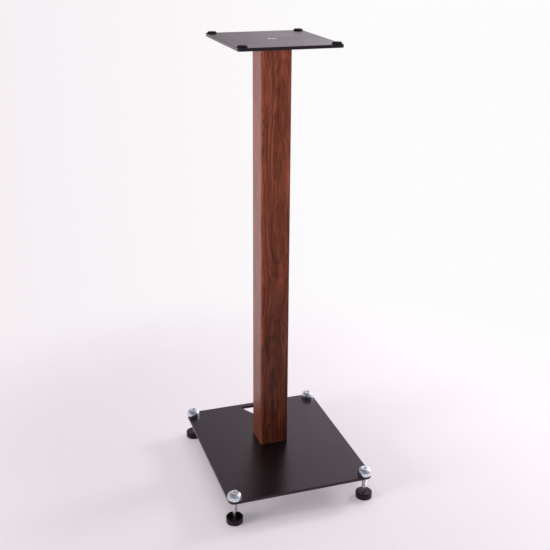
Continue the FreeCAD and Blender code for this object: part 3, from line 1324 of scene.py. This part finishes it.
@dataclass(frozen=True)
class Foot:
    """A levelling foot: dome nut, threaded spike, floor shoe and felt disc, in millimetres.

    Attributes:
        corner: The plate's corner that it stands at.
        turn: How far its spike happens to be turned, in degrees.
        seat_gap: What the dome nut stands clear of the plate that it turns on.
        socket: The socket's width across its flats.
        edge: Radius of the shoe's turned edges.
    """

    corner: Corner
    turn: float
    seat_gap: float = 0.01
    rim: float = 0.6
    rim_edge: float = 0.2
    foot_edge: float = 0.35
    cone_length: float = 13.5
    tip_radius: float = 0.5
    end_chamfer: float = 0.5
    socket: float = 4.0
    socket_depth: float = 4.5
    shoe_chamfer: float = 1.0
    shoe_foot_chamfer: float = 0.5
    shoe_steps: int = 128
    edge: float = 0.2
    felt_clearance: float = 0.25
    felt_edge: float = 0.3
    dimple_radius: float = 3.0
    dimple_floor_radius: float = 1.0
    dimple_depth: float = 2.0

    def sizes(self, kind: str) -> Triple:
        """Lowest height, highest height and radius of one of the foot's nodes."""
        extent = Extent.of(f"{kind}_{self.corner.value}")
        return extent.low.z, extent.high.z, extent.size.x / 2

    def dome(self) -> Shape:
        """The dome nut: a turned ring that curves in from a short straight side to a narrow rim.

        Returns:
            The nut on the axis.
        """
        low, high, radius = self.sizes("dome_nut")
        low += self.seat_gap
        bore = THREAD.tapped_radius
        return lathe([Turn(bore, low), Turn(radius, low, self.foot_edge),
                      Turn(radius, high, radius - bore - self.rim), Turn(bore, high, self.rim_edge)],
                     ring=True)

    def spike(self) -> Shape:
        """The spike: a threaded rod that is cut to a cone below and has a socket above.

        Returns:
            The spike on the axis.
        """
        low, high, radius = self.sizes("spike")
        slope = (radius - self.tip_radius) / self.cone_length

        def outline(height: float) -> float:
            """The spike's radius at a height."""
            cone = self.tip_radius + (height - low) * slope
            return min(cone, radius - self.end_chamfer + (high - height))

        key = prism(6, self.socket / math.sqrt(3), high - self.socket_depth, high + OVERCUT)
        return carve(within(THREAD.rod(low, high), outline), [key])

    def shoe(self) -> Shape:
        """The floor shoe with its dimple and the seat of its felt.

        Returns:
            The shoe on the axis.
        """
        low, high, radius = self.sizes("floor_shoe")
        _, seat_height, felt_radius = self.sizes("felt_disc")
        seat = felt_radius + self.felt_clearance
        floor = high - self.dimple_depth
        return lathe([Turn(0, seat_height), Turn(seat, seat_height), Turn(seat, low),
                      Turn(radius - self.shoe_foot_chamfer, low, self.edge),
                      Turn(radius, low + self.shoe_foot_chamfer, self.edge),
                      Turn(radius, high - self.shoe_chamfer, self.edge),
                      Turn(radius - self.shoe_chamfer, high, self.edge),
                      Turn(self.dimple_radius, high, self.edge), Turn(self.dimple_floor_radius, floor),
                      Turn(0, floor)], steps=self.shoe_steps)

    def felt(self) -> Shape:
        """The felt disc.

        Returns:
            The disc on the axis.
        """
        low, high, radius = self.sizes("felt_disc")
        return lathe([Turn(0, low), Turn(radius, low, self.felt_edge), Turn(radius, high, self.felt_edge),
                      Turn(0, high)])

    def pieces(self) -> list[Piece]:
        """The foot's four pieces, with only the spike turned.

        Returns:
            The pieces.
        """
        corner = self.corner.value
        axis = Extent.of(f"spike_{corner}").centre * LEVEL_PART
        paint = ShoeBlack(f"turned_shoe_black_{corner}", axis=axis * MM)
        made = []
        for name, shape, turn, finish, slot, node, body in (
                ("domed_lock_nut", self.dome(), 0.0, DOME_CHROME, Slot.DOME_CHROME, "dome_nut", "nut"),
                ("threaded_spike", self.spike(), self.turn, SPIKE_CHROME, Slot.SPIKE_CHROME, "spike",
                 "spike"),
                ("turned_floor_shoe", self.shoe(), 0.0, paint, Slot.SHOE, "floor_shoe", "shoe"),
                ("felt_pad", self.felt(), 0.0, FELT, Slot.FELT, "felt_disc", "shoe")):
            placed = moved(shape, axis, math.radians(turn))
            made.append(Piece(f"{name}_{corner}", placed, finish, slot, (f"{node}_{corner}",),
                              f"{body}_{corner}"))
        return made


FEET = (
    Foot(Corner.FRONT_LEFT, turn=12.0),
    Foot(Corner.FRONT_RIGHT, turn=41.0),
    Foot(Corner.REAR_LEFT, turn=27.0),
    Foot(Corner.REAR_RIGHT, turn=3.0),
)


def dress_hidden_fixings() -> None:
    """Gives the inserts and the pins, which keep the frame's own shapes, their finishes."""
    for kind, finish in (("insert", INSERT_BRASS), ("pins", PIN_STEEL)):
        for end in (BASE_END, TOP_END):
            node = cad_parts[f"{end.end}_{kind}"]
            for slot in node.material_slots:
                slot.material = finish.material()
            LOG.info("%s: dressed as %s", node.name, finish.name)


# ---- studio -------------------------------------------------------------------------------------

@dataclass(frozen=True)
class Softbox:
    """A lamp with a flat, soft face.

    Attributes:
        name: The lamp's name.
        place: Where it hangs, in metres.
        aim: What it points at.
        width: The width of its face.
        height: The height of its face.
        power: Its power in watts.
        spread: How wide its beam opens, in degrees.
        mirrored: Whether shiny faces show it.
        colour: Its colour.
    """

    name: str
    place: Vector
    aim: Vector
    width: float
    height: float
    power: float
    spread: float = 180.0
    mirrored: bool = False
    colour: Triple = (1.0, 0.97, 0.98)

    def hang(self) -> None:
        """Adds the lamp to the scene."""
        lamp = bpy.data.lights.new(self.name, "AREA")
        lamp.shape = "RECTANGLE"
        lamp.size = self.width
        lamp.size_y = self.height
        lamp.energy = self.power
        lamp.spread = math.radians(self.spread)
        lamp.color = self.colour
        holder = bpy.data.objects.new(self.name, lamp)
        holder.location = self.place
        holder.rotation_mode = "QUATERNION"
        holder.rotation_quaternion = (self.aim - self.place).to_track_quat("-Z", "Y")
        holder.visible_camera = False
        holder.visible_glossy = self.mirrored
        bpy.context.scene.collection.objects.link(holder)


@dataclass(frozen=True)
class Camera:
    """A camera that stands before the stand, a little to its left and above it.

    Attributes:
        place: Where it stands, in metres.
        yaw: Its turn about the upright axis, in degrees.
        pitch: How far it looks down, in degrees.
        roll: Its turn about its own axis, in degrees.
        lens: Focal length in millimetres.
        sensor: Width of its sensor in millimetres.
        rise: How far the picture is shifted up, as a share of its width.
        sight: The nearest and the farthest that it sees, in metres.
    """

    place: Vector = Vector((-0.45828, -1.36416, 0.93251))
    yaw: float = -18.52
    pitch: float = 20.05
    roll: float = 0.39
    lens: float = 60.79
    sensor: float = 36.0
    rise: float = -0.0423
    sight: Span = (0.01, 100.0)

    def set_up(self) -> None:
        """Makes it the scene's camera."""
        data = bpy.data.cameras.new("camera")
        data.sensor_width = self.sensor
        data.lens = self.lens
        data.shift_y = self.rise
        data.clip_start, data.clip_end = self.sight
        holder = bpy.data.objects.new("camera", data)
        placed = Matrix.Translation(self.place)
        for angle, axis in ((self.yaw, "Z"), (90 - self.pitch, "X"), (self.roll, "Z")):
            placed = placed @ Matrix.Rotation(math.radians(angle), 4, axis)
        holder.matrix_world = placed
        bpy.context.scene.collection.objects.link(holder)
        bpy.context.scene.camera = holder


@dataclass(frozen=True)
class Studio:
    """A white sweep with soft light, bright behind the stand and dark where the camera stands.

    Levels are strengths of light, of which 1 is white. A turn is where a direction's X, Y or Z
    starts and ends to make the room change.

    Attributes:
        floor_glow: Light of the floor's own, at its left and right, which keeps its shadows pale.
        fade: Where the floor starts and ends to give way to the backdrop, in metres.
        room: The tint of the light that comes from all round.
        camera_room: The tint of what shiny faces see on the camera's side.
        matt_share: How much of the room's light falls on matt faces.
        behind: Level of the wall behind the stand, at its left and right.
        below: Level of the ground behind the stand.
        dark_side: Level of the camera's side for matt faces.
        before: Levels of the ground and the wall on the camera's side for shiny faces.
        high_share: What is left of the wall's level high up.
        horizon_share: What is left of it at the horizon.
    """

    # painted shade: the backdrop is darker and pinker at the left and near white at the right, as if lit
    # more from the right
    shaded_backdrop_left: Colour = (0.915, 0.862, 0.895, 1.0)
    lit_backdrop_right: Colour = (0.985, 0.975, 0.985, 1.0)
    backdrop_turn: Span = (0.0, 0.4)
    floor: Colour = (0.80, 0.750, 0.80, 1.0)
    floor_roughness: float = 0.6
    floor_glint: float = 0.2
    floor_glow: Span = (0.19, 0.54)
    glow_reach: Span = (-0.5, 0.5)
    floor_drop: float = 0.0002
    floor_reach: float = 6.0
    floor_steps: int = 96
    fade: Span = (0.32, 0.85)
    room: Colour = (1.0, 0.92, 0.985, 1.0)
    camera_room: Colour = (0.82, 0.88, 1.0, 1.0)
    matt_share: float = 0.35
    behind: Span = (0.71, 2.00)
    below: float = 1.30
    dark_side: float = 0.05
    before: Span = (0.60, 0.30)
    high_share: float = 0.36
    horizon_share: float = 0.51
    side_turn: Span = (0.15, 0.45)
    high_turn: Span = (0.46, 0.68)
    horizon_turn: Span = (0.15, 0.42)
    back_turn: Span = (-0.75, 0.05)
    ground_turn: Span = (-0.15, 0.05)

    def lay_floor(self) -> None:
        """Lays a pale floor that fades into the backdrop all round."""
        shape = bmesh.new()
        bmesh.ops.create_circle(shape, cap_ends=True, segments=self.floor_steps, radius=self.floor_reach)
        bmesh.ops.translate(shape, vec=(0, 0, -self.floor_drop), verts=shape.verts[:])
        floor = bench_object("studio_floor", shape)
        material = bpy.data.materials.new("pale_floor")
        material.use_nodes = True
        graph = Graph(material.node_tree)
        place = graph.place()
        rays = graph.node("LightPath").outputs
        seen = graph.math("MAXIMUM", rays["Is Camera Ray"], rays["Is Glossy Ray"])
        glow = graph.remap(graph.axes(place)["X"], self.floor_glow, self.glow_reach)
        paint = graph.node("BsdfPrincipled", {
            "Base Color": self.floor,
            "Roughness": self.floor_roughness,
            "Specular IOR Level": self.floor_glint,
            "Emission Color": self.floor,
            "Emission Strength": graph.math("MULTIPLY", seen, glow),
        }).outputs["BSDF"]
        clear = graph.node("BsdfTransparent").outputs["BSDF"]
        fading = graph.remap(graph.level_distance(place), (0.0, 1.0), self.fade, smooth=True)
        shown = graph.node("MixShader", {0: fading, 1: paint, 2: clear}).outputs[0]
        graph.node("OutputMaterial", {"Surface": shown})
        floor.data.materials.append(material)

    def room_levels(self, graph: Graph, direction: Socket) -> tuple[Socket, Socket, Socket]:
        """How bright the room is in a direction, for everything but the camera.

        Args:
            graph: The world's tree.
            direction: The direction.

        Returns:
            The level for matt faces and for shiny ones, and 1 where the room lies behind the stand.
        """
        parts = graph.axes(direction)
        up = parts["Z"]
        wall = graph.remap(parts["X"], self.behind, self.side_turn, smooth=True)
        high = graph.remap(up, (1.0, self.high_share), self.high_turn, smooth=True)
        horizon = graph.remap(up, (self.horizon_share, 1.0), self.horizon_turn, smooth=True)
        wall = graph.math("MULTIPLY", wall, graph.math("MULTIPLY", high, horizon))
        ground = graph.remap(up, (self.below, 0.0), self.ground_turn, smooth=True)
        behind = graph.remap(parts["Y"], (0.0, 1.0), self.back_turn, smooth=True)
        walls = graph.math("MAXIMUM", wall, ground)
        matt = graph.math("MULTIPLY_ADD", walls, behind, self.dark_side)
        before = graph.math("MULTIPLY", graph.math("SUBTRACT", 1.0, behind),
                            graph.remap(up, self.before, self.ground_turn, smooth=True))
        shiny = graph.math("MULTIPLY_ADD", walls, behind, before)
        return graph.math("MULTIPLY", matt, self.matt_share), shiny, behind

    def light_world(self) -> None:
        """Lights the room: a backdrop for the camera with painted shade, darker at its left, and a two-sided
        room for the rest.
        """
        world = bpy.data.worlds.new("studio")
        world.use_nodes = True
        graph = Graph(world.node_tree)
        rays = graph.node("LightPath").outputs
        direction = graph.node("TexCoord").outputs["Generated"]
        matt_level, shiny_level, behind = self.room_levels(graph, direction)
        # painted shade across the backdrop, from its darker left to its brighter right
        painted_backdrop_shading = graph.remap(graph.axes(direction)["X"], (0.0, 1.0), self.backdrop_turn)
        seen = graph.background(graph.mix(painted_backdrop_shading, self.shaded_backdrop_left, self.lit_backdrop_right), 1.0)
        matt = graph.background(self.room, matt_level)
        shiny = graph.background(graph.mix(behind, self.camera_room, self.room), shiny_level)
        mirrored = graph.math("MAXIMUM", rays["Is Glossy Ray"], rays["Is Transmission Ray"])
        lit = graph.node("MixShader", {0: mirrored, 1: matt, 2: shiny}).outputs[0]
        shown = graph.node("MixShader", {0: rays["Is Camera Ray"], 1: lit, 2: seen}).outputs[0]
        graph.node("OutputWorld", {"Surface": shown})
        bpy.context.scene.world = world

    def hang_lamps(self) -> None:
        """Hangs the room's lamps, of which shiny faces show only the one at the right."""
        for lamp in (
                Softbox("overhead", Vector((-0.05, 0.42, 2.00)), Vector((0.0, 0.05, 0.0)),
                        width=1.8, height=1.8, power=16.8),
                Softbox("left_front", Vector((-1.50, -0.32, 0.42)), Vector((0.0, 0.0, 0.40)),
                        width=0.45, height=0.7, power=14.0),
                Softbox("right_side", Vector((1.50, 0.35, 0.95)), Vector((0.0, 0.0, 0.30)),
                        width=0.4, height=0.4, power=7.5, mirrored=True),
                Softbox("front_high_left", Vector((-0.75, -1.15, 0.80)), Vector((0.0, 0.0, 0.70)),
                        width=0.4, height=0.4, power=1.02, spread=42.0)):
            lamp.hang()

    def build(self) -> None:
        """Builds the whole studio."""
        self.lay_floor()
        self.light_world()
        self.hang_lamps()
        Camera().set_up()
        bpy.context.scene.view_settings.view_transform = "Standard"


# ---- the stand ----------------------------------------------------------------------------------


def main() -> None:
    """Builds the stand and its studio."""
    logging.basicConfig(level=logging.INFO, format="%(name)s: %(message)s")
    for part in (BasePlate(), Column(), TopPlate(), BASE_END, TOP_END, *FEET):
        for piece in part.pieces():
            piece.fit()
    dress_hidden_fixings()
    Studio().build()


if __name__ == "__main__":
    main()
